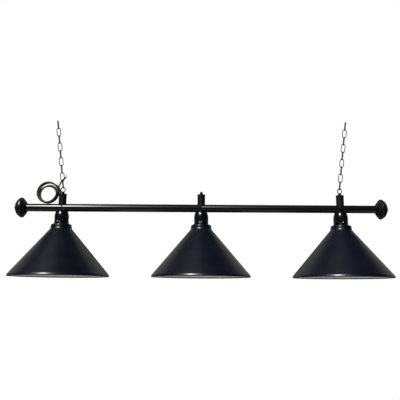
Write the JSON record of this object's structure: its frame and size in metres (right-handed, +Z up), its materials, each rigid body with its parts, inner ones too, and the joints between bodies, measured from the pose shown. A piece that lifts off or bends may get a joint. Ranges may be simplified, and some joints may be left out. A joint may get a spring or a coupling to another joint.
{
  "type": "pool table lamp",
  "caption": "Hanging pool table lamp: a straight bar carries a row of conical shades with screw lampholders and hangs from a chain near each end, with its supply cord coiled on the bar.",
  "frame": {"origin": "midway between the two points where the top links bear on their hooks", "axes": "+X along the bar to the right, -Y to the front, +Z up"},
  "size_m": [1.35, 0.35, 0.5717],
  "materials": {
    "shade_enamel": "black satin enamel outside, white enamel inside",
    "bar_paint": "semi-gloss black powder coat",
    "cap_lacquer": "gloss black",
    "black_steel": "black zinc plated wire",
    "zinc_steel": "zinc plated",
    "shell_brass": "bright rolled brass",
    "holder_plastic": "moulded thermoset",
    "bush_rubber": "soft moulded",
    "cord_sheath": "dark brown flexible sheath"
  },
  "bodies": {
    "top_links": {"link_left_9": "black_steel", "link_right_9": "black_steel"},
    "upper_links": {"link_left_8": "black_steel", "link_right_8": "black_steel"},
    "chain_left": {"link_left_7": "black_steel", "link_left_6": "black_steel", "link_left_5": "black_steel", "link_left_4": "black_steel", "link_left_3": "black_steel", "link_left_2": "black_steel"},
    "chain_right": {"link_right_7": "black_steel", "link_right_6": "black_steel", "link_right_5": "black_steel", "link_right_4": "black_steel", "link_right_3": "black_steel", "link_right_2": "black_steel"},
    "bottom_links": {"link_left_1": "black_steel", "link_right_1": "black_steel"},
    "lamp": {"bar_left": "bar_paint", "bar_right": "bar_paint", "bar_joiner": "zinc_steel", "end_cap_left": "cap_lacquer", "end_cap_right": "cap_lacquer", "post_left": "bar_paint", "post_centre": "bar_paint", "post_right": "bar_paint", "eye_left": "black_steel", "eye_right": "black_steel", "top_nut": "black_steel", "threaded_tube_left": "zinc_steel", "threaded_tube_centre": "zinc_steel", "threaded_tube_right": "zinc_steel", "cup_left": "shade_enamel", "cup_centre": "shade_enamel", "cup_right": "shade_enamel", "shade_left": "shade_enamel", "shade_centre": "shade_enamel", "shade_right": "shade_enamel", "lock_nut_left": "zinc_steel", "lock_nut_centre": "zinc_steel", "lock_nut_right": "zinc_steel", "lampholder_left": "holder_plastic", "lampholder_centre": "holder_plastic", "lampholder_right": "holder_plastic", "screw_shell_left": "shell_brass", "screw_shell_centre": "shell_brass", "screw_shell_right": "shell_brass", "contact_left": "shell_brass", "contact_centre": "shell_brass", "contact_right": "shell_brass", "cord_bush": "bush_rubber", "cord_lead": "cord_sheath", "cord_coil": "cord_sheath", "cord_tail": "cord_sheath"}
  },
  "joints": [
    {"name": "swing", "type": "hinge", "parent": "top_links", "child": "upper_links", "pos_m": [0, 0, -0.02659], "axis": [1, 0, 0], "range_deg": [-30, 30]},
    {"name": "sway", "type": "hinge", "parent": "upper_links", "child": "chain_left", "pos_m": [-0.52472, 0, -0.05457], "axis": [0, 1, 0], "range_deg": [-10, 10]},
    {"name": "sway_right", "type": "hinge", "parent": "upper_links", "child": "chain_right", "pos_m": [0.52472, 0, -0.05457], "axis": [0, 1, 0], "range_deg": [-10, 10]},
    {"name": "level", "type": "hinge", "parent": "chain_left", "child": "bottom_links", "pos_m": [-0.50351, 0, -0.22243], "axis": [0, 1, 0], "range_deg": [-10.5, 10.5]},
    {"name": "lamp_tilt", "type": "hinge", "parent": "bottom_links", "child": "lamp", "pos_m": [0, 0, -0.25021], "axis": [1, 0, 0], "range_deg": [-12, 12]}
  ],
  "couplings": [
    {"joint": "sway_right", "follows": "sway", "ratio": 1},
    {"joint": "level", "follows": "sway", "ratio": -1.0421}
  ]
}
